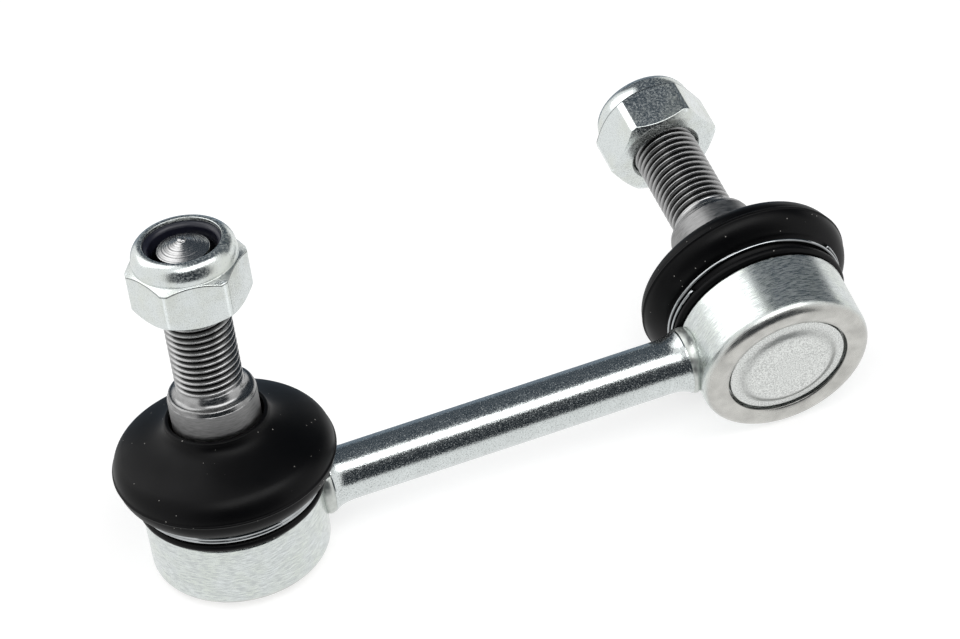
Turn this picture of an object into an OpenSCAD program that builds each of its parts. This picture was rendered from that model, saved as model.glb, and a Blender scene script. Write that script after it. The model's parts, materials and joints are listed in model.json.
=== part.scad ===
// Stabilizer link: a round steel rod with a ball joint welded on each end.
// Each joint is a crimped housing that holds a ball stud in a slit plastic seat,
// under a rubber boot with a wire ring. A nylon-insert lock nut runs on each stud.
// Frame: origin at the centre of the closing face of joint A, +Z along the housing
// axis of joint A, +X along the rod towards joint B. Sizes are in millimetres.

/* [Link] */
// Distance between the housing axes of the two joints
link_length = 102; // [80:1:220]
// Turn of joint B about the rod, seen along the rod
twist = 76; // [0:1:180]
// Diameter of the rod
rod_d = 10; // [8:0.5:11]
// Distance of the rod axis below the middle of the ball
rod_drop = 1.4; // [0.8:0.1:2]
// How far the upset at each end stands out of the rod
flare_out = 1; // [0.5:0.1:2]
// Length of the upset along the rod
flare_len = 5; // [3:0.5:8]
// How far the weld stands out of the upset
weld_out = 0.2; // [0.1:0.1:0.8]
// Thickness of the weld on the rod axis
weld_t = 0.9; // [0.6:0.1:2]

/* [Housing] */
// Wall between the seat and the outside of the housing
housing_wall = 4.5; // [4:0.1:6]
// Height of the housing's side above the middle of the ball
side_rise = 2.6; // [2:0.1:4]
// Depth of the groove that holds the boot
groove_depth = 2.7; // [2.2:0.1:3]
// Height of the groove that holds the boot
groove_h = 3.7; // [3.4:0.1:4.4]
// How far the flange above the groove stands out of it
flange_out = 0.9; // [0.6:0.1:1.2]
// Height of the flange above the groove
flange_h = 1.8; // [1.4:0.1:2.2]
// Thickness of the wall that closes the housing over the seat
roof_t = 3.3; // [2.8:0.1:3.6]
// Radius of the rolled edge at the closing end
roll_r = 2.4; // [1.6:0.1:2.6]
// Height of the rolled edge over the closing face
roll_lift = 0.1; // [0.05:0.05:0.3]
// Lap of the rolled edge over the plate
crimp_lap = 1.1; // [0.6:0.1:1.6]
// Thickness of the rolled edge where it ends on the plate
crimp_t = 0.6; // [0.4:0.1:0.8]

/* [Cover plate] */
// Ledge that carries the rim of the plate
plate_ledge = 1; // [0.6:0.1:1.4]
// Thickness of the plate
plate_t = 1.5; // [1.2:0.1:2]
// Depth of the plate's flat rim inside the closing face
plate_recess = 1; // [0.8:0.1:1.2]
// Diameter of the plate's raised middle
plateau_d = 16; // [12:0.5:17]
// Width of the slope round the raised middle
plateau_slope = 1.3; // [0.8:0.1:1.6]

/* [Ball seat] */
// Wall of the seat at the middle of the ball
seat_wall = 3.45; // [3:0.05:4]
// Diameter of the grease hole in the floor of the seat
seat_hole_d = 8; // [7:0.5:9]
// Height of the seat's lip above the middle of the ball
seat_lip_rise = 3.4; // [2.8:0.1:3.6]
// Number of slits that let the seat snap over the ball
slit_count = 6; // [4:1:8]
// Width of each slit
slit_w = 1.2; // [0.8:0.1:1.6]
// Depth of the slits below the top of the seat
slit_depth = 7; // [5:0.5:8]

/* [Ball stud] */
// Diameter of the ball
ball_d = 16; // [15:0.1:18]
// Height of the ball over the middle of the plate
ball_gap = 1; // [0.6:0.1:1.4]
// Largest tilt of a stud out of its housing axis
tilt_max = 25; // [15:1:25]
// Diameter of the neck above the ball
neck_d = 9.6; // [8.6:0.1:9.8]
// Distance from the middle of the ball to the end of the straight neck
neck_len = 12.5; // [12:0.1:14]
// Length of the cone between neck and collar
collar_cone = 3.9; // [3:0.1:5]
// Diameter of the collar
collar_d = 15.8; // [15:0.1:17]
// Height of the collar's straight part
collar_h = 5.2; // [4:0.1:8]
// Diameter of the collar's rim, where its taper ends
rim_d = 15.2; // [13.5:0.1:15.2]
// Height of the taper between the straight part and the rim
rim_h = 3.5; // [1:0.1:4]
// Height of the hollow fillet between shoulder and thread
fillet_h = 1.6; // [1:0.1:3]
// Diameter of the thread
thread_d = 12; // [10:0.5:13]
// Distance from the shoulder to the end of the thread
thread_len = 29.3; // [26:0.1:36]
// Pitch of the thread
thread_pitch = 1.25; // [1:0.25:1.75]
// Depth of the thread
thread_depth = 0.7; // [0.5:0.05:0.8]
// Bevel on the end of the thread
thread_bevel = 1.1; // [0.6:0.1:1.6]
// Height of the cone on the stud's end
tip_h = 1.6; // [0.8:0.1:2.4]
// Diameter of the nib left in the middle of the tip
nib_d = 1.6; // [1:0.1:2.4]
// Height of the nib
nib_h = 0.5; // [0.3:0.1:1]
// Lean of stud A out of its housing axis
stud_lean_a = 3.7; // [0:0.1:6]
// Direction in which stud A leans, from the rod
stud_way_a = 74; // [0:1:360]
// Lean of stud B out of its housing axis
stud_lean_b = 3.1; // [0:0.1:6]
// Direction in which stud B leans, from the rod
stud_way_b = 223; // [0:1:360]

/* [Lock nut] */
// Width of the nut across its flats
nut_af = 19; // [18:0.5:22]
// Height of the nut's hexagon
hex_h = 8.9; // [7:0.1:10]
// Width of the bevel on the hexagon's faces, inside its flats
hex_bevel = 0.4; // [0.2:0.1:0.8]
// Depth to which the hexagon's corners are rounded off
corner_cut = 0.35; // [0:0.05:0.6]
// Height of the crown above the hexagon
crown_h = 3.5; // [3:0.1:5]
// Wall of the crown round the insert
crown_wall = 1.15; // [0.5:0.05:1.2]
// Radius of the rolled top of the crown
crown_roll = 2; // [1:0.1:2.2]
// Lap of the crown's lip over the insert
crown_lap = 1.15; // [0.5:0.05:1.2]
// Thickness of the crown's lip
crown_lip = 0.7; // [0.5:0.1:0.9]
// Wall of the nylon insert
insert_wall = 2; // [1.6:0.1:2.2]
// Height of the nylon insert
insert_h = 3; // [2.4:0.1:3.4]
// How far the end of the thread lies below the top of the nut
end_drop = 1.7; // [-6:0.1:3]
// Turn of nut A about its stud
nut_turn_a = 38; // [0:1:60]
// Turn of nut B about its stud
nut_turn_b = 13; // [0:1:60]

/* [Boot] */
// How far the boot stands out of the housing's side
boot_out = 3.6; // [3:0.1:5]
// Radius of the boot's rounded edge
belly_r = 4; // [3.4:0.1:4.4]
// Height of the rounded edge's centre above the boot's waist
belly_rise = 3.8; // [3:0.1:4.4]
// Wall of the boot
boot_wall = 1.5; // [1.2:0.1:1.8]
// How far the boot's lower lip stands out of the housing's side
lip_out = 0.7; // [0.3:0.1:1.2]
// Height of the boot's lower lip
lip_h = 1.2; // [0.9:0.1:1.4]
// Wall of the boot's waist over the housing's flange
waist_wall = 0.9; // [0.7:0.1:1.2]
// How much the waist widens towards its top
waist_flare = 0.8; // [0:0.1:1.2]
// Distance of the boot's mouth below the shoulder of the collar
mouth_drop = 5.4; // [4.4:0.1:6.4]
// Wall of the boot at its mouth
mouth_wall = 0.8; // [0.6:0.1:1.2]
// Height of the boot's collar, which lies along the stud
mouth_h = 3; // [2.5:0.1:3.4]

/* [Wire ring] */
// Diameter of the ring's wire
wire_d = 0.9; // [0.7:0.05:1]
// Turns of the ring
wire_turns = 1.7; // [1:0.1:2]
// Gap between one turn and the next
wire_gap = 0.05; // [0.02:0.01:0.1]
// Direction of the lower end of ring A, from the rod's direction
ring_turn_a = 36; // [0:1:360]
// Direction of the lower end of ring B, from the rod's direction
ring_turn_b = 221; // [0:1:360]

/* [Fits] */
// Running clearance of the ball in its seat
ball_clear = 0.05; // [0.02:0.01:0.1]
// Clearance of the seat in the housing
seat_clear = 0.05; // [0.02:0.01:0.1]
// Clearance of the plate in its recess
plate_clear = 0.1; // [0.05:0.05:0.2]
// Room for the neck at full tilt in the mouth of the housing
neck_room = 0.9; // [0.4:0.1:1.2]
// Running clearance of the nut on the stud
thread_clear = 0.05; // [0.02:0.01:0.1]
// Clearance of the insert in the nut
insert_clear = 0.1; // [0.05:0.05:0.2]
// Clearance of the boot on what it seals
boot_clear = 0.3; // [0.2:0.05:0.4]
// Clearance of the boot's mouth round the collar
mouth_clear = 0.5; // [0.3:0.1:0.8]
// Clearance of the wire in the boot's waist
wire_clear = 0.15; // [0.1:0.05:0.3]

/* [Hidden] */
$fn = 96;
boot_sides = 36;
wire_sides = 8;
wire_steps = 30;

rod_r = rod_d / 2;
flare_r = rod_r + flare_out;
weld_r = flare_r + weld_out;

ball_r = ball_d / 2;
ball_z = plate_t + ball_gap + ball_r;
rod_z = ball_z - rod_drop;
neck_r = neck_d / 2;

seat_r = ball_r + seat_wall;
cavity_r = seat_r + seat_clear;
housing_r = cavity_r + housing_wall;
side_z = ball_z + side_rise;
groove_r = housing_r - groove_depth;
flange_r = groove_r + flange_out;
flange_z = side_z + groove_h;
top_z = flange_z + flange_h;
roof_z = top_z - roof_t;

plate_r = cavity_r + plate_ledge;
recess_r = plate_r + plate_clear;
crimp_r = plate_r - crimp_lap;
plate_top_z = plate_recess + plate_t;

collar_r = collar_d / 2;
collar_z = neck_len + collar_cone;
taper_z = collar_z + collar_h;
shoulder_z = taper_z + rim_h;
thread_r = thread_d / 2;
thread_end_z = shoulder_z + thread_len;

nut_h = hex_h + crown_h;
nut_z = thread_end_z + end_drop - nut_h;
nut_hole_r = thread_r + thread_clear;
insert_r = nut_hole_r + insert_wall;
insert_z = nut_h - crown_lip - insert_clear - insert_h;
crown_r = insert_r + insert_clear + crown_wall;

wire_pitch = wire_d + wire_gap;
wire_h = wire_turns * wire_pitch + wire_d;
boot_groove_r = groove_r + boot_clear;
boot_flange_r = flange_r + boot_clear;
boot_hole_r = collar_r + mouth_clear;
lip_r = housing_r + lip_out;
lip_z = side_z + boot_clear;
waist_r = boot_flange_r + waist_wall;
waist_z = lip_z + lip_h;
waist_top_z = waist_z + wire_h + 2 * wire_clear;
belly_z = waist_top_z + belly_rise;
boot_top_z = ball_z + shoulder_z - mouth_drop;
wire_z = waist_z + wire_clear + wire_d / 2;
wire_seat = (wire_clear + wire_d / 2) / cos(atan(waist_flare / (waist_top_z - waist_z)));

zinc = "silver";
bare_steel = "darkgray";
rubber = "#1c1c1e";
nylon = "#23263a";
acetal = "ivory";

// Points of an arc about a centre, from one angle to another
function arc(centre, r, from, to, steps) =
    [for (i = [0:steps]) let (turn = from + (to - from) * i / steps) centre + r * [cos(turn), sin(turn)]];

// Points of a cubic curve between its first and last control point
function curve(a, b, c, d, steps) =
    [for (i = [0:steps]) let (t = i / steps, s = 1 - t)
        s * s * s * a + 3 * s * s * t * b + 3 * s * t * t * c + t * t * t * d];

// Radius of the boot's waist at a height
function waist_at(z) = waist_r + waist_flare * (z - waist_z) / (waist_top_z - waist_z);

// Radius that the tilted neck sweeps at a height above the middle of the ball
function neck_sweep(rise) = rise * tan(tilt_max) + neck_r / cos(tilt_max);

// A vector turned by the lean of a stud
function leaned(v, lean, way) =
    let (
        along = v[0] * cos(way) + v[1] * sin(way),
        across = v[1] * cos(way) - v[0] * sin(way),
        out = along * cos(lean) + v[2] * sin(lean)
    )
    [out * cos(way) - across * sin(way), out * sin(way) + across * cos(way), v[2] * cos(lean) - along * sin(lean)];

// Places a joint's pieces at end B of the rod
module at_b() {
    translate([link_length, 0, rod_z])
        rotate([-twist, 0, 0])
            translate([0, 0, -rod_z])
                children();
}

// Places a piece on a stud, from the middle of its ball
module on_stud(lean, way) {
    translate([0, 0, ball_z])
        rotate([0, 0, way])
            rotate([0, lean, 0])
                children();
}

// Room round a housing for the lip of its boot
module boot_room() {
    translate([0, 0, side_z])
        cylinder(r = lip_r + boot_clear, h = housing_r);
}

// The rod with its two upset ends
module rod() {
    start = housing_r + weld_t;
    span = link_length - 2 * start;
    upset = curve([flare_r, 0], [rod_r, flare_len / 3], [rod_r, flare_len * 2 / 3], [rod_r, flare_len], 6);
    far_upset = [for (i = [len(upset) - 1:-1:0]) [upset[i][0], span - upset[i][1]]];
    color(zinc)
        difference() {
            translate([start, 0, rod_z])
                rotate([0, 90, 0])
                    rotate_extrude()
                        polygon(concat([[0, 0]], upset, far_upset, [[0, span]]));
            boot_room();
            at_b() boot_room();
        }
}

// The weld between rod and housing, saddled on the housing's side
module weld_ring() {
    color("lightgray")
        difference() {
            translate([0, 0, rod_z])
                rotate([0, 90, 0])
                    cylinder(r = weld_r, h = housing_r + weld_t);
            translate([0, 0, rod_z])
                cylinder(r = housing_r, h = 4 * weld_r, center = true);
            boot_room();
        }
}

// The turned housing, open at the top for the stud and rolled over the plate below
module housing() {
    mouth_r = neck_sweep(top_z - ball_z) + neck_room;
    throat_r = neck_sweep(roof_z - ball_z) + neck_room;
    color(zinc)
        rotate_extrude()
            polygon(concat(
                [[crimp_r, plate_recess], [crimp_r, plate_recess - crimp_t]],
                arc([housing_r - roll_r, roll_r + roll_lift], roll_r, -90, 0, 6),
                [
                    [housing_r, side_z], [groove_r, side_z],
                    [groove_r, flange_z], [flange_r, flange_z],
                    [flange_r, top_z], [mouth_r, top_z],
                    [throat_r, roof_z], [cavity_r, roof_z],
                    [cavity_r, plate_top_z], [recess_r, plate_top_z], [recess_r, plate_recess]
                ]
            ));
}

// The pressed plate that closes the housing, of one thickness all over
module cover_plate() {
    inner = plateau_d / 2;
    outer = inner + plateau_slope;
    bend = plate_t * tan(atan(plate_recess / plateau_slope) / 2);
    color(zinc)
        rotate_extrude()
            polygon([
                [0, 0], [inner, 0], [outer, plate_recess], [plate_r, plate_recess],
                [plate_r, plate_top_z], [outer - bend, plate_top_z], [inner - bend, plate_t], [0, plate_t]
            ]);
}

// The plastic seat, slit so that it snaps over the ball
module ball_seat() {
    seat_top = roof_z - seat_clear;
    socket_r = ball_r + ball_clear;
    lip = ball_z + seat_lip_rise;
    lip_hole = sqrt(socket_r * socket_r - seat_lip_rise * seat_lip_rise);
    mouth_r = max(lip_hole, neck_sweep(seat_top - ball_z) + neck_room / 2);
    color(acetal)
        difference() {
            translate([0, 0, plate_top_z])
                cylinder(r = seat_r, h = seat_top - plate_top_z);
            translate([0, 0, ball_z])
                sphere(r = socket_r);
            translate([0, 0, lip])
                cylinder(r1 = lip_hole, r2 = mouth_r, h = seat_top - lip);
            cylinder(d = seat_hole_d, h = ball_z);
            for (i = [0:slit_count - 1])
                rotate([0, 0, i * 360 / slit_count])
                    translate([0, -slit_w / 2, seat_top - slit_depth])
                        cube([housing_r, slit_w, slit_depth]);
        }
}

// The forged stud: ball, neck, collar, thread as rings of its pitch and depth, coned tip
module ball_stud() {
    neck_start = sqrt(ball_r * ball_r - neck_r * neck_r) / 2;
    rim_r = rim_d / 2;
    tip_r = thread_r - thread_bevel;
    nib_r = nib_d / 2;
    hollow = curve([rim_r, shoulder_z], [(rim_r + thread_r) / 2, shoulder_z],
        [thread_r, shoulder_z + fillet_h / 3], [thread_r, shoulder_z + fillet_h], 6);
    turns = floor((thread_len - fillet_h - thread_bevel) / thread_pitch);
    groove = [[0.125, 0], [0.45, thread_depth], [0.55, thread_depth], [0.875, 0]];
    thread = [
        for (i = [0:turns - 1], side = groove)
            [thread_r - side[1], shoulder_z + fillet_h + (i + side[0]) * thread_pitch]
    ];
    color(bare_steel) {
        sphere(r = ball_r);
        rotate_extrude()
            polygon(concat(
                [
                    [0, neck_start], [neck_r, neck_start], [neck_r, neck_len],
                    [collar_r, collar_z], [collar_r, taper_z]
                ],
                hollow,
                thread,
                [
                    [thread_r, thread_end_z - thread_bevel], [tip_r, thread_end_z],
                    [nib_r, thread_end_z + tip_h], [0, thread_end_z + tip_h + nib_h]
                ]
            ));
    }
}

// Outline of the boot's wall as a closed loop: lip, outside, mouth, inside
function boot_outline() =
    let (
        fall = 60,
        belly = [housing_r + boot_out - belly_r, belly_z],
        wall_r = belly_r - boot_wall,
        under_z = top_z + boot_clear,
        out_from = -asin(min(1, belly_rise / belly_r)),
        in_to = -asin(min(1, max(0, (belly_z - under_z) / wall_r))),
        way = [-sin(fall), cos(fall)],
        out_end = belly + belly_r * [cos(fall), sin(fall)],
        in_end = belly + wall_r * [cos(fall), sin(fall)],
        mouth_r = boot_hole_r + mouth_wall,
        mouth_z = boot_top_z - mouth_h,
        lip_round = lip_h / 2
    )
    concat(
        [[boot_groove_r, lip_z]],
        arc([lip_r - lip_round, lip_z + lip_round], lip_round, -90, 90, 4),
        [[waist_r, waist_z], [waist_at(waist_top_z), waist_top_z]],
        arc(belly, belly_r, out_from, fall - 15, 6),
        curve(out_end, out_end + belly_r * way, [mouth_r, mouth_z], [mouth_r, boot_top_z], 6),
        [[boot_hole_r, boot_top_z]],
        curve([boot_hole_r, mouth_z], [boot_hole_r, mouth_z - mouth_h], in_end + belly_r * way, in_end, 5),
        arc(belly, wall_r, fall - 30, in_to, 3),
        [
            [boot_flange_r, under_z],
            [boot_flange_r, flange_z - boot_clear], [boot_groove_r, flange_z - boot_clear]
        ]
    );

// Share of the stud's lean that a height on the boot follows
function lean_share(z) =
    let (t = min(1, max(0, (z - waist_top_z) / (boot_top_z - mouth_h - waist_top_z))))
    t * t * (3 - 2 * t);

// The rubber boot: round on the housing below, carried over to the lean of the stud above
module boot(lean, way) {
    outline = boot_outline();
    count = len(outline);
    points = [
        for (i = [0:boot_sides - 1], p = outline)
            let (
                turn = i * 360 / boot_sides,
                still = [p[0] * cos(turn), p[0] * sin(turn), p[1] - ball_z],
                share = lean_share(p[1])
            )
            still * (1 - share) + leaned(still, lean, way) * share + [0, 0, ball_z]
    ];
    faces = [
        for (i = [0:boot_sides - 1], j = [0:count - 1])
            let (next = (i + 1) % boot_sides, up = (j + 1) % count)
            each [
                [i * count + j, i * count + up, next * count + up],
                [i * count + j, next * count + up, next * count + j]
            ]
    ];
    color(rubber)
        polyhedron(points = points, faces = faces);
}

// The wire ring that holds the boot in its groove, a short coil that climbs clockwise
module boot_ring(start) {
    steps = round(wire_steps * wire_turns);
    points = [
        for (i = [0:steps], j = [0:wire_sides - 1])
            let (
                turn = start - i * 360 / wire_steps,
                side = -j * 360 / wire_sides,
                rise = wire_pitch * i / wire_steps,
                r = waist_at(wire_z + rise) + wire_seat + wire_d / 2 * cos(side),
                z = wire_z + rise + wire_d / 2 * sin(side)
            )
            [r * cos(turn), r * sin(turn), z]
    ];
    walls = [
        for (i = [0:steps - 1], j = [0:wire_sides - 1])
            let (k = (j + 1) % wire_sides, a = i * wire_sides, b = (i + 1) * wire_sides)
            each [[a + j, a + k, b + k], [a + j, b + k, b + j]]
    ];
    ends = [
        [for (j = [wire_sides - 1:-1:0]) j],
        [for (j = [0:wire_sides - 1]) steps * wire_sides + j]
    ];
    color(zinc)
        polyhedron(points = points, faces = concat(walls, ends));
}

// The lock nut: bevelled hexagon with rounded corners and a rolled crown over its insert
module lock_nut(turn) {
    corner = nut_af / sqrt(3);
    face_r = nut_af / 2 - hex_bevel;
    side_r = corner - corner_cut;
    bevel = (side_r - face_r) * tan(30);
    root_z = hex_h - crown_roll;
    color(zinc)
        translate([0, 0, nut_z])
            difference() {
                union() {
                    intersection() {
                        rotate([0, 0, turn])
                            cylinder(r = corner, h = hex_h, $fn = 6);
                        rotate_extrude()
                            polygon([
                                [0, 0], [face_r, 0], [side_r, bevel],
                                [side_r, hex_h - bevel], [face_r, hex_h], [0, hex_h]
                            ]);
                    }
                    rotate_extrude()
                        polygon(concat(
                            [[0, root_z], [crown_r, root_z]],
                            arc([crown_r - crown_roll, nut_h - crown_roll], crown_roll, 0, 90, 6),
                            [[0, nut_h]]
                        ));
                }
                translate([0, 0, -hex_h])
                    cylinder(r = nut_hole_r, h = 2 * nut_h);
                translate([0, 0, insert_z - insert_clear])
                    cylinder(r = insert_r + insert_clear, h = insert_h + 2 * insert_clear);
                translate([0, 0, insert_z])
                    cylinder(r = insert_r - crown_lap, h = nut_h);
            }
}

// The nylon ring that grips the thread inside the nut's crown
module nut_insert() {
    color(nylon)
        translate([0, 0, nut_z + insert_z])
            difference() {
                cylinder(r = insert_r, h = insert_h);
                translate([0, 0, -insert_h])
                    cylinder(r = nut_hole_r, h = 3 * insert_h);
            }
}

rod();
weld_ring();  // weld_ring_a
at_b() mirror([1, 0, 0]) weld_ring();  // weld_ring_b
housing();  // housing_a
at_b() housing();  // housing_b
cover_plate();  // cover_plate_a
at_b() cover_plate();  // cover_plate_b
ball_seat();  // ball_seat_a
at_b() ball_seat();  // ball_seat_b
on_stud(stud_lean_a, stud_way_a) ball_stud();  // ball_stud_a
at_b() on_stud(stud_lean_b, stud_way_b) ball_stud();  // ball_stud_b
boot(stud_lean_a, stud_way_a);  // boot_a
at_b() boot(stud_lean_b, stud_way_b);  // boot_b
boot_ring(ring_turn_a);  // boot_ring_a
at_b() boot_ring(ring_turn_b);  // boot_ring_b
on_stud(stud_lean_a, stud_way_a) lock_nut(nut_turn_a);  // lock_nut_a
at_b() on_stud(stud_lean_b, stud_way_b) lock_nut(nut_turn_b);  // lock_nut_b
on_stud(stud_lean_a, stud_way_a) nut_insert();  // nut_insert_a
at_b() on_stud(stud_lean_b, stud_way_b) nut_insert();  // nut_insert_b
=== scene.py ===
"""Looks of a stabilizer link: a plated rod with a booted ball joint and a lock nut at each end.

Each piece is worked out in the frame of its own joint or stud, in metres, and then placed in the
part's frame. Joint A stands on the origin and joint B is turned about the rod.
"""

import json
import math

import bmesh
import bpy
import numpy as np
from bpy.props import FloatProperty, FloatVectorProperty, PointerProperty
from mathutils import Matrix, Vector


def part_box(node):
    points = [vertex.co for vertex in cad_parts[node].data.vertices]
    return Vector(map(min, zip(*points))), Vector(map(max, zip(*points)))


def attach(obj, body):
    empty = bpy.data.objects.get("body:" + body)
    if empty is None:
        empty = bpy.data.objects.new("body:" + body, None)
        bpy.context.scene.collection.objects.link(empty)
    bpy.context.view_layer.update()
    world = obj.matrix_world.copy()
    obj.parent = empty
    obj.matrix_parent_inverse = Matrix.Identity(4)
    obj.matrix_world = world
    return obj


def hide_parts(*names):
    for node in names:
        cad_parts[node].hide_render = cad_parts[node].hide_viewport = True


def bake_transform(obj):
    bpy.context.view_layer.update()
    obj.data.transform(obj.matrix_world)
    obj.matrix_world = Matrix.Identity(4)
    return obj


bl_info = {
    "name": "Stabilizer Link",
    "version": (1, 0, 0),
    "blender": (4, 5, 0),
    "location": "View3D > Sidebar > Link",
    "description": "Builds the visible pieces, finishes and studio of a stabilizer link",
    "category": "Object",
}

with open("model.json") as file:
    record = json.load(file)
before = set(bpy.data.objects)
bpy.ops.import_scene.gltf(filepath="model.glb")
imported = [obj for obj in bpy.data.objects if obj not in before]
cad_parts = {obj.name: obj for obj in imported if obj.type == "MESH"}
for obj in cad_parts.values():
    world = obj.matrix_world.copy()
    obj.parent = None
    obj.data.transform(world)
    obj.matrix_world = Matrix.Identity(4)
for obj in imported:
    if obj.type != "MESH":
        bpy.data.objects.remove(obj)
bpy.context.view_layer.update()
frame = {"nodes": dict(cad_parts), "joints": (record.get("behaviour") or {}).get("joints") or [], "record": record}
JOINTS = {joint["name"]: joint for joint in frame["joints"]}
MOUNTS = {mount["name"]: mount for mount in frame["record"]["mounts"]}
COUPLINGS = {c["joint"]: c for c in frame["record"]["behaviour"]["couplings"]}

MM = 0.001
TURN = 2 * math.pi
ENDS = ("a", "b")
# Points closer than this are one
MERGE = 1e-7
# A rounded corner's steps, the most of a side that it takes, and where its flats start
ROUND_STEPS = 5
MOST_REACH = 0.4
FLAT_REACH = 1.25
# Rows of points in one pitch of a thread
THREAD_STEPS = 16
# Slope of the nuts' bevels
BEVEL_SLOPE = math.tan(math.radians(35))
# Range that holds most of a noise
NOISE = (0.3, 0.7)


# Properties


def length(name, description, mm):
    """A length property whose default is given in millimetres."""
    return FloatProperty(
        name=name, description=description, default=mm * MM, precision=5, unit="LENGTH"
    )


def angle(name, description, degrees):
    """An angle property whose default is given in degrees."""
    return FloatProperty(
        name=name, description=description, default=math.radians(degrees), subtype="ANGLE"
    )


def colour(name, description, rgb):
    """A colour property."""
    return FloatVectorProperty(
        name=name, description=description, default=rgb, min=0, max=1, subtype="COLOR"
    )


def place(name, description, mm):
    """A point property whose default is given in millimetres."""
    metres = tuple(value * MM for value in mm)
    return FloatVectorProperty(
        name=name, description=description, default=metres, precision=5, unit="LENGTH"
    )


def amount(name, description, value):
    """A plain number property."""
    return FloatProperty(name=name, description=description, default=value)


class LinkRod(bpy.types.PropertyGroup):
    """Sizes of the rod and its welds."""

    radius: length("Radius", "Radius of the rod between its ends", 5)
    flare_radius: length("Flare radius", "Radius of the upset ends", 6)
    flare_length: length("Flare length", "Length over which an end flares", 5)
    weld_radius: length("Weld radius", "Radius of the weld bead's crest", 6.2)
    weld_width: length("Weld width", "Width of the weld on the rod", 0.15)
    mark_place: length("Mark place", "Distance of the clamp mark from the rod's start", 7.4)
    mark_width: length("Mark width", "Width of the clamp mark", 0.22)
    mark_height: length("Mark height", "Height of the clamp mark", 0.09)
    mark_turn: angle("Mark turn", "Direction of the clamp mark's middle", 31)
    mark_reach: angle("Mark reach", "Half the turn that the clamp mark covers", 13)


class LinkHousing(bpy.types.PropertyGroup):
    """Sizes of the housing and its plate, with heights from the closing face."""

    radius: length("Radius", "Radius of the housing's side", 16)
    side_top: length("Side top", "Height of the side's upper edge", 13.1)
    groove_radius: length("Groove radius", "Radius of the groove under the boot", 13.3)
    flange_radius: length("Flange radius", "Radius of the flange inside the boot", 14.2)
    flange_base: length("Flange base", "Height of the flange's underside", 16.8)
    top: length("Top", "Height of the housing's top face", 18.6)
    mouth_radius: length("Mouth radius", "Radius of the opening at the top", 9.98)
    throat_radius: length("Throat radius", "Radius of the opening under the roof", 8.45)
    roof: length("Roof", "Height of the cavity's roof", 15.3)
    cavity_radius: length("Cavity radius", "Radius of the cavity", 11.5)
    roll_radius: length("Roll radius", "Radius of the rolled closing edge", 2.4)
    crimp_radius: length("Crimp radius", "Inner radius of the rolled edge", 11.45)
    lip_drop: length("Lip drop", "Depth to which the rolled edge curves in", 0.6)
    plate_radius: length("Plate radius", "Outer radius of the plate", 12.5)
    plate_recess: length("Plate recess", "Depth of the plate's rim in the housing", 1.0)
    plate_thickness: length("Plate thickness", "Thickness of the plate", 1.5)
    plateau_radius: length("Plateau radius", "Radius of the plate's raised middle", 7.7)
    plateau_slope: length("Plateau slope", "Width of the slope round the middle", 2.1)
    plateau_crown: length("Plateau crown", "Fall of the raised middle from its centre to its edge", 0.2)


class LinkStud(bpy.types.PropertyGroup):
    """Sizes of the stud, with heights from the middle of its ball."""

    ball_radius: length("Ball radius", "Radius of the ball", 8)
    neck_radius: length("Neck radius", "Radius of the neck", 4.8)
    neck_length: length("Neck length", "Height at which the neck ends", 12.5)
    collar_base: length("Collar base", "Height at which the collar starts", 16.4)
    collar_radius: length("Collar radius", "Radius of the collar", 7.9)
    collar_top: length("Collar top", "Height at which the collar's taper starts", 24.1)
    rim_radius: length("Rim radius", "Radius of the tapered rim at the shoulder", 7.6)
    shoulder: length("Shoulder", "Height of the shoulder", 25.1)
    fillet: length("Fillet", "Height of the hollow fillet", 1.6)
    thread_radius: length("Thread radius", "Radius of the thread's crests", 6)
    thread_depth: length("Thread depth", "Depth of the thread", 0.7)
    thread_end: length("Thread end", "Height of the thread's end", 54.4)
    bevel: length("Bevel", "Bevel at the thread's end", 1.35)
    tip: length("Tip", "Height of the coned tip", 1.6)
    nib_radius: length("Nib radius", "Radius of the nib on the tip", 0.8)
    nib: length("Nib", "Height of the nib", 0.5)


class LinkNut(bpy.types.PropertyGroup):
    """Sizes of the lock nut and its insert, with heights from the nut's seat."""

    seat: length("Seat", "Height of the nut's seat from the middle of the ball", 43.7)
    flats: length("Flats", "Width across the flats", 19)
    hex_height: length("Hexagon height", "Height of the hexagon", 8.9)
    bevel: length("Bevel", "Bevel from the flats to the nut's faces", 0.4)
    corner_cut: length("Corner cut", "Depth to which the corners are rounded off", 0.35)
    height: length("Height", "Height of the nut", 12.4)
    crown_radius: length("Crown radius", "Radius of the crown", 9.3)
    crown_roll: length("Crown roll", "Width of the crown's rolled edge", 2.1)
    crown_rise: length("Crown rise", "Height of the crown's rolled edge", 3.1)
    crown_hole: length("Crown hole", "Radius of the opening in the crown", 6.9)
    bore: length("Bore", "Radius of the bore", 6.05)
    insert_radius: length("Insert radius", "Outer radius of the insert", 8.05)
    insert_base: length("Insert base", "Height of the insert's underside", 8.6)
    insert_top: length("Insert top", "Height of the insert's upper face", 11.6)
    turn_a: angle("Turn A", "Direction of a corner of nut A", 38)
    turn_b: angle("Turn B", "Direction of a corner of nut B", 13)


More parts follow.
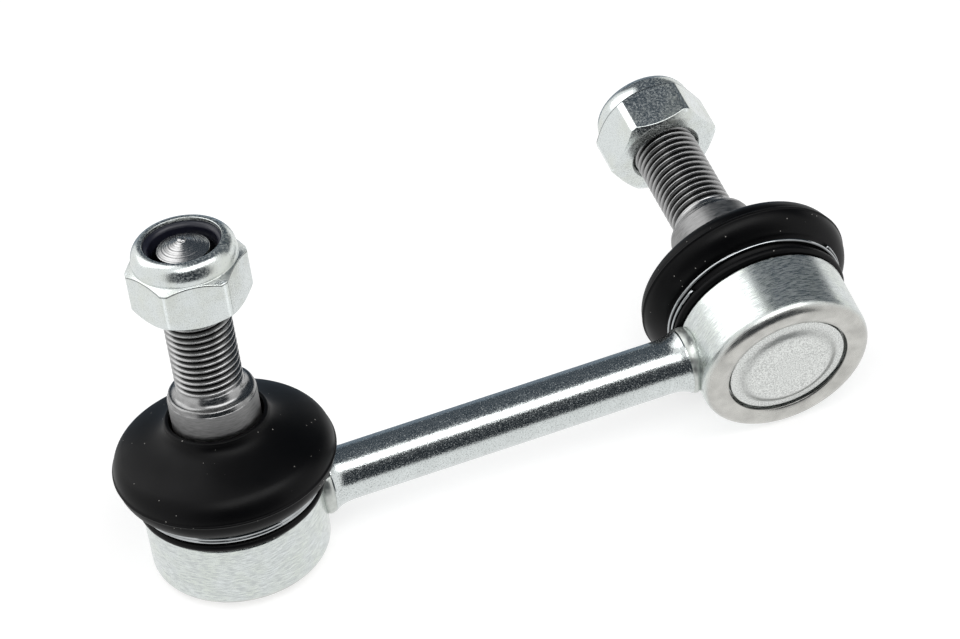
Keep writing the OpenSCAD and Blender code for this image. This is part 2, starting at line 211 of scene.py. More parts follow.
class LinkBoot(bpy.types.PropertyGroup):
    """Sizes of the boot and its wire ring, with heights from the closing face."""

    lip_radius: length("Lip radius", "Radius of the lip on the housing", 16.7)
    lip_base: length("Lip base", "Height of the lip's underside", 13.4)
    lip_height: length("Lip height", "Height of the lip", 1.5)
    groove_radius: length("Groove radius", "Inner radius in the housing's groove", 13.6)
    flange_radius: length("Flange radius", "Inner radius round the flange", 14.5)
    pocket_base: length("Pocket base", "Height of the pocket's floor under the flange", 16.5)
    pocket_top: length("Pocket top", "Height of the pocket's end above the flange", 18.9)
    waist_radius: length("Waist radius", "Radius at the foot of the waist", 15.4)
    waist_flare: length("Waist flare", "Gain in radius up the waist", 0.8)
    waist_top: length("Waist top", "Height at which the waist ends", 17.415)
    belly_radius: length("Belly radius", "Radius of the belly's bend", 4)
    belly_out: length("Belly out", "Radius of the boot at its belly", 19.6)
    belly_height: length("Belly height", "Height of the belly", 21.215)
    wall: length("Wall", "Thickness of the wall", 1.5)
    top: length("Top", "Height of the mouth's upper edge", 30.2)
    mouth_radius: length("Mouth radius", "Inner radius of the mouth", 8.4)
    mouth_wall: length("Mouth wall", "Thickness of the wall at the mouth", 0.8)
    mouth_height: length("Mouth height", "Height of the straight mouth", 3)
    fall: angle("Fall", "Turn of the belly at which the dome starts", 60)
    seam: length("Seam", "Height of the moulding seam round the belly", 0.26)
    seam_width: length("Seam width", "Width of the moulding seam", 0.18)
    wire_radius: length("Wire radius", "Radius of the ring's wire", 0.39)
    wire_base: length("Wire base", "Height of the ring's lower turn", 15.42)
    wire_pitch: length("Wire pitch", "Climb of the ring in one turn", 0.9)
    wire_seat: length("Wire seat", "Gap from waist to the middle of the wire", 0.624)
    wire_turns: amount("Wire turns", "Number of turns of the ring", 1.7)
    ring_turn_a: angle("Ring turn A", "Direction of ring A's lower end", 36)
    ring_turn_b: angle("Ring turn B", "Direction of ring B's lower end", 221)


class LinkFinish(bpy.types.PropertyGroup):
    """Colours of the finishes."""

    zinc: colour("Zinc", "Bright plating of rod, housings and nuts", (0.70, 0.74, 0.735))
    # Dull crimped plating, darkened further as painted dark reflection
    dull: colour("Dull zinc", "Rolled edge of the housings", (0.585, 0.58, 0.55))
    wire: colour("Wire", "Wire rings", (0.48, 0.50, 0.51))
    frosted: colour("Frosted", "Grainy plating of the plates", (0.80, 0.82, 0.80))
    weld: colour("Weld", "Weld beads", (0.66, 0.69, 0.66))
    steel: colour("Steel", "Bare steel of the studs", (0.47, 0.47, 0.47))
    root: colour("Thread root", "Shade in thread roots and round the plates", (0.012, 0.012, 0.012))
    rubber: colour("Rubber", "Boots", (0.0022, 0.0022, 0.0026))
    dust: colour("Dust", "Dust on rubber and nylon", (0.35, 0.34, 0.32))
    nylon: colour("Nylon", "Nut inserts", (0.012, 0.013, 0.024))
    acetal: colour("Acetal", "Ball seats", (0.78, 0.76, 0.70))
    floor: colour("Floor", "Studio floor", (0.62, 0.62, 0.62))
    card: colour("Cards", "Tint of the dark cards round the studio", (0.66, 0.82, 1.0))


class LinkStage(bpy.types.PropertyGroup):
    """Camera and floor of the studio."""

    camera: place("Camera", "Place of the camera", (-114.27, -655.62, 563.32))
    aim: place("Aim", "Point that the camera looks at", (51.62, 9.11, 25.26))
    roll: angle("Roll", "Turn of the camera about its view", -9.284)
    lens: amount("Lens", "Focal length in millimetres", 184.22)
    floor_size: length("Floor size", "Side of the square floor", 9000)


# Frames


def axes(origin, across, along):
    """Frame with z along one direction, y along another and x square to both."""
    z = np.array(along, float)
    z = z / np.linalg.norm(z)
    y = np.array(across, float)
    y = y - z * (y @ z)
    y = y / np.linalg.norm(y)
    matrix = np.eye(4)
    matrix[:3, :3] = np.stack([np.cross(y, z), y, z], 1)
    matrix[:3, 3] = origin
    return matrix


def joint_frame(end):
    """Frame on a joint's closing face: z into the housing, x along the rod."""
    mount = MOUNTS["closing_face_" + end]
    z = -np.array(mount["axis"], float)
    return axes(mount["pos_m"], np.cross(z, (1.0, 0.0, 0.0)), z)


def stud_frame(end):
    """Frame in the middle of a ball: z along the stud, y along its tilt axis."""
    tilt = JOINTS["tilt_" + end]
    return axes(tilt["pos_m"], tilt["axis"], JOINTS["nut_screw_" + end]["axis"])


def rod_frame(rod):
    """Frame at the rod's start: z along the rod, y up."""
    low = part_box("rod")[0]
    return axes((low.x, 0.0, low.z + rod.flare_radius), (0, 0, 1), (1, 0, 0))


def placed(points, matrix):
    """Points of a local frame, in the part's frame."""
    return points @ matrix[:3, :3].T + matrix[:3, 3]


# Surfaces


def arc(centre, radius, start, end, steps):
    """Points at a radius from a centre, at even angles from start to end."""
    turn = np.linspace(start, end, steps + 1)
    return np.stack([centre[0] + radius * np.cos(turn), centre[1] + radius * np.sin(turn)], 1)


def curve(a, b, c, d, steps):
    """Cubic curve: its four points weighed by s^3, 3s^2t, 3st^2 and t^3, with s = 1 - t."""
    t = np.linspace(0, 1, steps + 1)[:, None]
    s = 1 - t
    weights = np.hstack([s**3, 3 * s**2 * t, 3 * s * t**2, t**3])
    return weights @ np.array([a, b, c, d])


def eased(t):
    """S-curve 3t^2 - 2t^3 from 0 to 1."""
    return t**2 * (3 - 2 * t)


def unrounded(points):
    """Points of r and z as corners that stay sharp."""
    return np.pad(points, ((0, 0), (0, 1)))


def rounded(corners, looped):
    """Outline of corners (r, z, reach), each turned into a parabola.

    The parabola leaves and meets the corner's two sides at the reach from the corner, and a
    point a quarter reach further out keeps the side beyond it flat. Corners may hold a column
    axis between the first and the last.
    """
    corners = np.array(corners, float)
    points = corners[..., :2]
    reach = corners[..., 2:]
    before = np.roll(points, 1, 0) - points
    after = np.roll(points, -1, 0) - points
    before_length = np.linalg.norm(before, axis=-1, keepdims=True) + MERGE
    after_length = np.linalg.norm(after, axis=-1, keepdims=True) + MERGE
    reach = np.minimum(reach, MOST_REACH * np.minimum(before_length, after_length))
    if not looped:
        reach[[0, -1]] = 0
    corner = points[:, None]
    start = (reach * before / before_length)[:, None]
    end = (reach * after / after_length)[:, None]
    t = np.linspace(0, 1, ROUND_STEPS + 1).reshape((1, -1) + (1,) * (points.ndim - 1))
    bend = corner + (1 - t) ** 2 * start + t**2 * end
    outline = np.concatenate([corner + FLAT_REACH * start, bend, corner + FLAT_REACH * end], 1)
    return outline.reshape((-1,) + points.shape[1:])


def around(columns):
    """Even angles once round."""
    return np.arange(columns) * TURN / columns


def revolved(outline, turn):
    """Surface (r cos turn, r sin turn, z) of an outline of r and z, or of one for each angle."""
    if outline.ndim == 2:
        outline = outline[:, None]
    r, z = outline[..., 0], outline[..., 1]
    return np.stack([r * np.cos(turn), r * np.sin(turn), z + 0 * turn], -1)


def surface(name, grid, looped=False):
    """Mesh of a grid of points, its columns joined in a ring, and its rows too where looped."""
    rows, columns = grid.shape[:2]
    index = np.arange(rows * columns).reshape(rows, columns)
    if looped:
        index = np.vstack([index, index[:1]])
    beside = np.roll(index, -1, axis=1)
    faces = np.stack([index[:-1], beside[:-1], beside[1:], index[1:]], -1).reshape(-1, 4)
    mesh = bpy.data.meshes.new(name)
    mesh.from_pydata(grid.reshape(-1, 3), [], faces)
    shell = bmesh.new()
    shell.from_mesh(mesh)
    bmesh.ops.remove_doubles(shell, verts=shell.verts, dist=MERGE)
    bmesh.ops.recalc_face_normals(shell, faces=shell.faces)
    shell.to_mesh(mesh)
    shell.free()
    mesh.shade_smooth()
    return mesh


def add_piece(mesh, finish, node, body=None):
    """A piece for a CAD node, with a finish and a material slot, that rides a body if one is given."""
    mesh.materials.append(finish)
    piece = bpy.data.objects.new(mesh.name, mesh)
    bpy.context.scene.collection.objects.link(piece)
    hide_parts(node)
    if body:
        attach(piece, body)
    return piece


# Finishes


def add_node(tree, kind, inputs=None, **settings):
    """A shader node with its settings, and its inputs set to values or linked to sockets."""
    node = tree.nodes.new(kind)
    for key, value in settings.items():
        setattr(node, key, value)
    for key, value in (inputs or {}).items():
        if isinstance(value, bpy.types.NodeSocket):
            tree.links.new(value, node.inputs[key])
        else:
            node.inputs[key].default_value = value
    return node


def maths(tree, operation, *values):
    """The result of a Math node."""
    return add_node(tree, "ShaderNodeMath", dict(enumerate(values)), operation=operation).outputs[0]


def vectors(tree, operation, inputs, output="Vector"):
    """A result of a Vector Math node."""
    return add_node(tree, "ShaderNodeVectorMath", inputs, operation=operation).outputs[output]


def polar(tree, point):
    """The three parts of a point, its place square to z, and its distance from the z axis."""
    parts = add_node(tree, "ShaderNodeSeparateXYZ", {"Vector": point}).outputs
    flat = add_node(tree, "ShaderNodeCombineXYZ", {"X": parts["X"], "Y": parts["Y"]}).outputs[0]
    return parts, flat, vectors(tree, "LENGTH", {0: flat}, "Value")


def bearing(tree, parts, start):
    """The angle about the z axis from a start."""
    return maths(tree, "SUBTRACT", maths(tree, "ARCTAN2", parts["Y"], parts["X"]), start)


def spread(tree, value, span, result=(0.0, 1.0)):
    """A value taken from one range to another and held at its ends."""
    low, high = span
    at_low, at_high = result
    inputs = {"Value": value, "From Min": low, "From Max": high, "To Min": at_low, "To Max": at_high}
    return add_node(tree, "ShaderNodeMapRange", inputs).outputs["Result"]


def dimmed(rgb, share):
    """A colour times a share, or times one share for each channel."""
    return np.array(rgb) * share


def mixed(tree, share, first, second):
    """A colour between two, by a share."""
    node = add_node(tree, "ShaderNodeMix", {0: share}, data_type="RGBA")
    for socket, value in ((node.inputs[6], first), (node.inputs[7], second)):
        if isinstance(value, bpy.types.NodeSocket):
            tree.links.new(value, socket)
        else:
            socket.default_value = (*value, 1.0)
    return node.outputs[2]


def new_group(name, values, output):
    """A shader node group of a vector and named values, with its inputs and its one result."""
    group = bpy.data.node_groups.new(name, "ShaderNodeTree")
    group.interface.new_socket("Vector", in_out="INPUT", socket_type="NodeSocketVector")
    for value in values:
        group.interface.new_socket(value, in_out="INPUT", socket_type="NodeSocketFloat")
    group.interface.new_socket(output, in_out="OUTPUT", socket_type="NodeSocketFloat")
    given = group.nodes.new("NodeGroupInput").outputs
    return group, given, group.nodes.new("NodeGroupOutput").inputs[output]


def turned_marks_group():
    """Fine lines round an axis: noise stretched along the turn and tight along height and radius."""
    group, given, result = new_group("turned_marks", ("Breaks", "Lines"), "Marks")
    parts, flat, radius = polar(group, given["Vector"])
    way = vectors(group, "NORMALIZE", {0: flat})
    way = vectors(group, "SCALE", {0: way, "Scale": given["Breaks"]})
    radial = 1.3
    height = maths(group, "MULTIPLY_ADD", radius, radial, parts["Z"])
    height = maths(group, "MULTIPLY", height, given["Lines"])
    rise = add_node(group, "ShaderNodeCombineXYZ", {"Z": height}).outputs[0]
    point = vectors(group, "ADD", {0: way, 1: rise})
    noise = add_node(group, "ShaderNodeTexNoise", {"Vector": point, "Scale": 1.0, "Detail": 3.0})
    group.links.new(noise.outputs[0], result)
    return group


def grain_group():
    """Even grain: noise of a given number of specks to the metre."""
    group, given, result = new_group("grain", ("Specks",), "Grain")
    inputs = {"Vector": given["Vector"], "Scale": given["Specks"], "Detail": 2.0, "Roughness": 0.55}
    noise = add_node(group, "ShaderNodeTexNoise", inputs)
    group.links.new(noise.outputs[0], result)
    return group


def dust_group():
    """Scattered specks: small discs round the points of a cell pattern, most of them left out."""
    group, given, result = new_group("dust", ("Cells", "Share"), "Dust")
    inputs = {"Vector": given["Vector"], "Scale": given["Cells"]}
    cells = add_node(group, "ShaderNodeTexVoronoi", inputs).outputs
    chance = add_node(group, "ShaderNodeSeparateColor", {0: cells["Color"]}).outputs
    largest = 0.14
    size = maths(group, "MULTIPLY", chance[1], largest)
    near = maths(group, "LESS_THAN", cells["Distance"], size)
    chosen = maths(group, "LESS_THAN", chance[0], given["Share"])
    group.links.new(maths(group, "MULTIPLY", near, chosen), result)
    return group


def effect(tree, name, inputs):
    """The output of a shared effect, which is made once and placed in each material."""
    makers = {"turned_marks": turned_marks_group, "grain": grain_group, "dust": dust_group}
    group = bpy.data.node_groups.get(name) or makers[name]()
    return add_node(tree, "ShaderNodeGroup", inputs, node_tree=group).outputs[0]


def turned_marks(tree, point, breaks, lines):
    """Turned marks with a number of breaks in a turn and of lines to the metre."""
    return effect(tree, "turned_marks", {"Vector": point, "Breaks": breaks, "Lines": lines})


def grain(tree, point, specks):
    """Grain of a number of specks to the metre."""
    return effect(tree, "grain", {"Vector": point, "Specks": specks})


def dust(tree, point, cells, share):
    """Dust in a share of the cells, with a number of cells to the metre."""
    return effect(tree, "dust", {"Vector": point, "Cells": cells, "Share": share})


def empty_tree(holder):
    """The cleared node tree of a material or world."""
    holder.use_nodes = True
    holder.node_tree.nodes.clear()
    return holder.node_tree


def new_finish(name, matrix):
    """An empty material, its tree, and its coordinates in a local frame."""
    material = bpy.data.materials.new(name)
    tree = empty_tree(material)
    local = Matrix(matrix.tolist())
    inputs = {
        "Vector": add_node(tree, "ShaderNodeTexCoord").outputs["Object"],
        "Location": local.translation,
        "Rotation": local.to_euler(),
    }
    mapping = add_node(tree, "ShaderNodeMapping", inputs, vector_type="TEXTURE")
    return material, tree, mapping.outputs["Vector"]


def shaded(material, inputs, height=None, strength=0.0, depth=0.0):
    """The material, given its Principled shader and output, with an optional bump."""
    tree = material.node_tree
    if height is not None:
        bump = {"Height": height, "Strength": strength, "Distance": depth}
        inputs["Normal"] = add_node(tree, "ShaderNodeBump", bump).outputs["Normal"]
    shader = add_node(tree, "ShaderNodeBsdfPrincipled", inputs)
    add_node(tree, "ShaderNodeOutputMaterial", {"Surface": shader.outputs["BSDF"]})
    return material


def rod_zinc(finish, matrix):
    """Bright zinc with the fine grain of a drawn rod."""
    material, tree, point = new_finish("rod_zinc", matrix)
    fine = grain(tree, point, 4200.0)
    cloud = spread(tree, grain(tree, point, 300.0), NOISE)
    plated = mixed(tree, cloud, dimmed(finish.zinc, 0.9), finish.zinc)
    pits = spread(tree, fine, (0.36, 0.5))
    inputs = {
        "Base Color": mixed(tree, pits, dimmed(finish.zinc, 0.65), plated),
        "Metallic": spread(tree, fine, (0.5, 0.7), (1.0, 0.8)),
        "Roughness": spread(tree, fine, NOISE, (0.12, 0.28)),
    }
    return shaded(material, inputs, fine, 0.6, 0.03 * MM)


def housing_zinc(name, finish, housing, matrix):
    """Bright zinc over the short marks of a lathe; dull plating with painted dark reflection on the rolled edge;
    painted shade in the plate's gap.
    """
    material, tree, point = new_finish(name, matrix)
    parts, _, radius = polar(tree, point)
    marks = turned_marks(tree, point, 11.0, 6000.0)
    streak = spread(tree, marks, (0.42, 0.62))
    blotch = spread(tree, grain(tree, point, 260.0), (0.35, 0.65))
    worn = mixed(tree, blotch, finish.zinc, dimmed(finish.zinc, (0.97, 0.98, 0.92)))
    side = mixed(tree, streak, worn, dimmed(finish.zinc, 0.84))
    # The rolled edge: dull crimped plating, darkened further as a painted dark reflection
    edge = mixed(tree, blotch, dimmed(finish.dull, 0.78), finish.dull)
    rolled = spread(tree, parts["Z"], (0.7 * MM, 1.7 * MM), (1.0, 0.0))
    # Painted shade: the gap between the rolled lip and the plate takes the near-black root colour
    crimp = housing.crimp_radius
    gap = spread(tree, radius, (crimp, crimp + 0.1 * MM), (1.0, 0.0))
    inputs = {
        "Base Color": mixed(tree, gap, mixed(tree, rolled, side, edge), finish.root),
        "Metallic": maths(tree, "MAXIMUM", rolled, spread(tree, streak, (0.0, 1.0), (1.0, 0.7))),
        "Roughness": spread(tree, marks, NOISE, (0.22, 0.34)),
    }
    return shaded(material, inputs, marks, 0.25, 0.03 * MM)


def nut_edges(tree, point, nut, turn):
    """Masks of the hexagon's corners, which get a painted highlight, and of the line on its sides just under the
    upper bevel, which gets painted shade.

    The angle about the stud from a corner's direction is folded at every twelfth of a turn, so it
    is 0 at each corner. The bevel is a cone, and the line is where a side lies a little below it.
    """
    parts, _, radius = polar(tree, point)
    half = nut.flats / 2
    folded = maths(tree, "PINGPONG", bearing(tree, parts, turn), TURN / 12)
    near = spread(tree, folded, (0.01, 0.035), (1.0, 0.0))
    outside = maths(tree, "GREATER_THAN", radius, half + 0.6 * MM)
    top = nut.seat + nut.hex_height + (half - nut.bevel) * BEVEL_SLOPE
    cone = maths(tree, "MULTIPLY_ADD", radius, -BEVEL_SLOPE, top)
    depth = maths(tree, "SUBTRACT", cone, parts["Z"])
    below = spread(tree, depth, (0.03 * MM, 0.08 * MM))
    above = spread(tree, depth, (0.16 * MM, 0.3 * MM), (1.0, 0.0))
    side = maths(tree, "GREATER_THAN", radius, half - 0.02 * MM)
    line = maths(tree, "MULTIPLY", maths(tree, "MULTIPLY", below, above), side)
    return maths(tree, "MULTIPLY", near, outside), line


def nut_zinc(name, finish, nut, turn, matrix):
    """Bright zinc with a milky bloom, stains and dull specks, with a painted highlight at the corners and painted
    shade under the upper bevel.
    """
    material, tree, point = new_finish(name, matrix)
    corner, line = nut_edges(tree, point, nut, turn)
    bloom = grain(tree, point, 180.0)
    fine = grain(tree, point, 2600.0)
    stained = dimmed(finish.zinc, (0.98, 0.97, 0.92))
    clouded = mixed(tree, spread(tree, bloom, (0.45, 0.7)), finish.zinc, stained)
    plated = mixed(tree, spread(tree, fine, (0.28, 0.42)), dimmed(finish.zinc, 0.75), clouded)
    # Painted highlight: the hexagon's corners are lightened in colour
    painted_corner_highlight = mixed(tree, corner, plated, dimmed(finish.zinc, 1.2))
    inputs = {
        # Painted shade: a dark line on the sides just under the upper bevel
        "Base Color": mixed(tree, line, painted_corner_highlight, dimmed(finish.zinc, 0.3)),
        "Metallic": spread(tree, fine, (0.45, 0.65), (1.0, 0.68)),
        "Roughness": spread(tree, bloom, NOISE, (0.16, 0.3)),
    }
    return shaded(material, inputs, fine, 0.7, 0.03 * MM)


def wire_zinc(name, finish, boot, start, matrix):
    """Drawn wire, with painted shade where it meets the rubber and its own next turn.

    The height above the coil, which climbs by one pitch as the angle falls by a turn, is folded at
    half a pitch, so it is 0 at the middle of the wire on every turn.
    """
    material, tree, point = new_finish(name, matrix)
    broad = grain(tree, point, 250.0)
    parts = polar(tree, point)[0]
    climb = maths(tree, "MULTIPLY_ADD", bearing(tree, parts, start), boot.wire_pitch / TURN, parts["Z"])
    rise = maths(tree, "SUBTRACT", climb, boot.wire_base)
    away = maths(tree, "PINGPONG", rise, boot.wire_pitch / 2)
    # Painted shade: the wire darkens away from its middle on each turn, where it meets the rubber and its next
    # turn
    painted_crevice_shade = spread(tree, away, (boot.wire_radius * 0.5, boot.wire_radius * 0.95))
    wire_tone = mixed(tree, spread(tree, broad, NOISE), dimmed(finish.wire, 0.75), finish.wire)
    inputs = {
        "Base Color": mixed(tree, painted_crevice_shade, wire_tone, dimmed(finish.wire, 0.08)),
        "Metallic": 1.0,
        "Roughness": spread(tree, broad, NOISE, (0.05, 0.1)),
    }
    return shaded(material, inputs)


def frosted_zinc(name, finish, housing, matrix):
    """Grainy zinc of a pressed plate: bright and dull specks side by side, with a painted dark reflection on its
    slope.
    """
    material, tree, point = new_finish(name, matrix)
    radius = polar(tree, point)[2]
    middle = housing.plateau_radius + housing.plateau_slope / 2
    away = maths(tree, "ABSOLUTE", maths(tree, "SUBTRACT", radius, middle))
    # Painted dark reflection: the colour darkens on the slope round the raised middle
    slope = spread(tree, away, (0.0, housing.plateau_slope * 0.6), (0.55, 0.0))
    fine = grain(tree, point, 4000.0)
    speck = spread(tree, fine, (0.38, 0.6))
    grainy = mixed(tree, speck, dimmed(finish.frosted, 0.62), finish.frosted)
    inputs = {
        "Base Color": mixed(tree, slope, grainy, dimmed(finish.frosted, 0.5)),
        "Metallic": 1.0,
        "Roughness": spread(tree, fine, NOISE, (0.44, 0.28)),
    }
    return shaded(material, inputs, fine, 0.8, 0.05 * MM)


def weld_bead(name, finish, matrix):
    """Plated weld, a little green and uneven."""
    material, tree, point = new_finish(name, matrix)
    fine = grain(tree, point, 900.0)
    inputs = {
        "Base Color": mixed(tree, spread(tree, fine, NOISE), dimmed(finish.weld, 0.75), finish.weld),
        "Metallic": 0.85,
        "Roughness": spread(tree, fine, NOISE, (0.28, 0.45)),
    }
    return shaded(material, inputs, fine, 0.4, 0.06 * MM)


def stud_steel(name, finish, stud, matrix):
    """Bare turned steel, darker on the collar, with painted shade in the roots of the thread."""
    material, tree, point = new_finish(name, matrix)
    parts, _, radius = polar(tree, point)
    height = parts["Z"]
    root = stud.thread_radius - stud.thread_depth
    crest = spread(tree, radius, (root + 0.1 * MM, stud.thread_radius - 0.05 * MM))
    marks = turned_marks(tree, point, 5.0, 5000.0)
    streak = spread(tree, marks, NOISE)
    turned = mixed(tree, streak, dimmed(finish.steel, 0.8), finish.steel)
    # The steel below the shoulder is darker
    darker_collar = mixed(tree, streak, dimmed(finish.steel, 0.4), dimmed(finish.steel, 0.7))
    collar = spread(tree, height, (stud.shoulder, stud.shoulder + stud.fillet), (1.0, 0.0))
    tip = maths(tree, "GREATER_THAN", height, stud.thread_end)
    bare = mixed(tree, tip, mixed(tree, collar, turned, darker_collar), finish.steel)
    line = (stud.collar_top - 0.02 * MM, stud.collar_top + 0.02 * MM)
    gloss = spread(tree, height, line, (1.2, 0.75))
    inputs = {
        # Painted shade: the thread's roots take the near-black root colour; crests and tip keep the steel
        "Base Color": mixed(tree, maths(tree, "MAXIMUM", crest, tip), finish.root, bare),
        "Metallic": 1.0,
        "Roughness": maths(tree, "MULTIPLY", spread(tree, marks, NOISE, (0.26, 0.42)), gloss),
    }
    return shaded(material, inputs, marks, 0.15, 0.02 * MM)


def boot_rubber(name, finish, matrix):
    """Satin black rubber with a fine skin and a little dust."""
    material, tree, point = new_finish(name, matrix)
    inputs = {
        "Base Color": mixed(tree, dust(tree, point, 1100.0, 0.22), finish.rubber, finish.dust),
        "Roughness": spread(tree, grain(tree, point, 110.0), NOISE, (0.32, 0.46)),
        "Specular IOR Level": 0.12,
    }
    return shaded(material, inputs, grain(tree, point, 1500.0), 0.25, 0.03 * MM)


def insert_nylon(name, finish, matrix):
    """Dark nylon with a faint grain and a little dust."""
    material, tree, point = new_finish(name, matrix)
    skin = grain(tree, point, 900.0)
    inputs = {
        "Base Color": mixed(tree, dust(tree, point, 900.0, 0.08), finish.nylon, finish.dust),
        "Roughness": spread(tree, skin, NOISE, (0.3, 0.42)),
    }
    return shaded(material, inputs, skin, 0.15, 0.03 * MM)


def seat_acetal(name, finish, matrix):
    """Ivory acetal with a moulded skin."""
    material, tree, point = new_finish(name, matrix)
    skin = grain(tree, point, 400.0)
    inputs = {
        "Base Color": mixed(tree, skin, dimmed(finish.acetal, 0.9), finish.acetal),
        "Roughness": spread(tree, skin, NOISE, (0.32, 0.44)),
    }
    return shaded(material, inputs)


# Pieces


def rod_mesh(rod):
    """Outline of the flared rod turned about its axis.

    An end flares by a cubic curve from the flare radius at its face to the rod radius. The clamp
    mark is a ridge beside a hollow, two bell curves along the rod, held to a part of the turn.
    """
    low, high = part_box("rod")
    span = high.x - low.x
    r, out, run = rod.radius, rod.flare_radius, rod.flare_length
    edge = 0.12 * MM
    flare = curve((out, edge), (r, run / 3), (r, run * 2 / 3), (r, run), 14)
    near = np.concatenate([[(0, 0), (out - edge, 0)], flare])
    far = near[::-1] * (1, -1) + (0, span)
    place_on_rod = np.linspace(-4, 4, 33) * rod.mark_width + rod.mark_place
    marked = np.stack([np.full_like(place_on_rod, r), place_on_rod], 1)
    outline = np.concatenate([near, marked, far])
    turn = around(192)
    grid = revolved(outline, turn)
    off = np.mod(turn - rod.mark_turn + math.pi, TURN) - math.pi
    along = (outline[:, 1:] - rod.mark_place) / rod.mark_width
    apart = 0.9
    wave = np.exp(-((along - apart) ** 2)) - np.exp(-((along + apart) ** 2))
    wave = wave * np.exp(-((off / rod.mark_reach) ** 6))
    grid[..., :2] *= 1 + (rod.mark_height / r * wave)[..., None]
    return surface("plated_rod", placed(grid, rod_frame(rod)))


def weld_mesh(end, rod, housing):
    """Bead between rod and housing: half a sine wave in radius, saddled on the housing's side.

    The inner end of each line lies on the cylinder, x^2 + y^2 = radius^2, the outer one on the
    rod, and what would reach past the side's upper edge is held at it.
    """
    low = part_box("rod")[0]
    turn = around(96)
    across = np.linspace(0, 1, 13)[:, None]
    foot = rod.flare_radius - 0.1 * MM
    crest = foot + (rod.weld_radius - foot) * np.sin(math.pi * across)
    core = [[0.6 * rod.radius]]
    r = np.vstack([core, crest, core])
    share = np.vstack([[[0]], across, [[1]]])
    y = r * np.cos(turn)
    z = r * np.sin(turn) + low.z + rod.flare_radius
    start = np.sqrt(housing.radius**2 - y**2) - 0.05 * MM
    x = start * (1 - share) + (low.x + rod.weld_width) * share
    z = np.where(x < housing.radius + 1.2 * MM, np.minimum(z, housing.side_top - 0.02 * MM), z)
    way = {"a": 1, "b": -1}[end]
    points = np.stack([way * x, y, z], -1)
    return surface("weld_bead_" + end, placed(points, joint_frame(end)), looped=True)


def housing_mesh(end, housing):
    """Outline of the cup turned about the joint: rolled edge, side, flange, cavity.

    The rolled edge falls inwards by the square of the way from its crest and outwards by a quarter
    circle.
    """
    h = housing
    fine, soft = 0.1 * MM, 0.2 * MM
    crest = h.radius - h.roll_radius
    inner = h.crimp_radius + 0.05 * MM
    t = np.linspace(1, 0, 13)[:, None]
    lip = np.hstack([crest + (inner - crest) * t, h.lip_drop * t**2])
    roll = arc((crest, h.roll_radius), h.roll_radius, -math.pi / 2, 0, 14)[1:]
    pocket = h.plate_radius + fine
    front = h.plate_recess - 0.02 * MM
    back = h.plate_recess + h.plate_thickness
    corners = [
        (h.crimp_radius, front, fine),
        *unrounded(lip),
        *unrounded(roll),
        (h.radius, h.roll_radius + fine, 0),
        (h.radius, h.side_top, 0.3 * MM),
        (h.groove_radius, h.side_top, fine),
        (h.groove_radius, h.flange_base, fine),
        (h.flange_radius, h.flange_base, soft),
        (h.flange_radius, h.top, soft),
        (h.mouth_radius, h.top, soft),
        (h.throat_radius, h.roof, fine),
        (h.cavity_radius, h.roof, fine),
        (h.cavity_radius, back, fine),
        (pocket, back, fine),
        (pocket, front, fine),
    ]
    grid = revolved(rounded(corners, True), around(192))
    return surface("housing_cup_" + end, placed(grid, joint_frame(end)), looped=True)


def plate_mesh(end, housing):
    """Outline of the pressed plate turned about the joint: raised middle, slope and rim.

    The middle falls from its centre by the square of the radius, and the slope from there to the
    rim is an S-curve.
    """
    h = housing
    fine, soft = 0.05 * MM, 0.4 * MM
    middle, slope = h.plateau_radius, h.plateau_slope
    rim = h.crimp_radius - soft
    step = h.plate_recess + 1.1 * MM
    back = h.plate_recess + h.plate_thickness
    drop = h.plate_recess - h.plateau_crown
    t = np.linspace(0, 1, 17)[:, None]
    crown = np.hstack([middle * t, h.plateau_crown * t**2])[:-1]
    fall = np.hstack([middle + slope * t, h.plateau_crown + drop * eased(t)])
    corners = [
        *unrounded(crown),
        *unrounded(fall),
        (rim, h.plate_recess, 0.2 * MM),
        (rim + fine, step, fine),
        (h.plate_radius, step, fine),
        (h.plate_radius, back, 0.1 * MM),
        (middle + slope, back, soft),
        (middle - soft, h.plate_thickness, soft),
        (0, h.plate_thickness, 0),
    ]
    grid = revolved(rounded(corners, False), around(128))
    return surface("pressed_plate_" + end, placed(grid, joint_frame(end)))


def thread_cut(stud, pitch, turn, z):
    """Depth of the thread at an angle and height.

    The height less the climb of one pitch a turn gives a place across the thread, from crest to
    root; the flank between a flat crest and a round root is eased, and the cut fades in over the
    first turn or so.
    """
    crest, flank = 0.12, 0.74
    start, fade = stud.shoulder + 0.7 * stud.fillet, 1.3 * pitch
    away = np.abs(2 * np.mod(z / pitch - turn / TURN, 1.0) - 1)
    t = np.clip((away - crest) / flank, 0, 1)
    run = np.clip((z - start) / fade, 0, 1)
    return stud.thread_depth * (t + eased(t)) / 2 * eased(run)


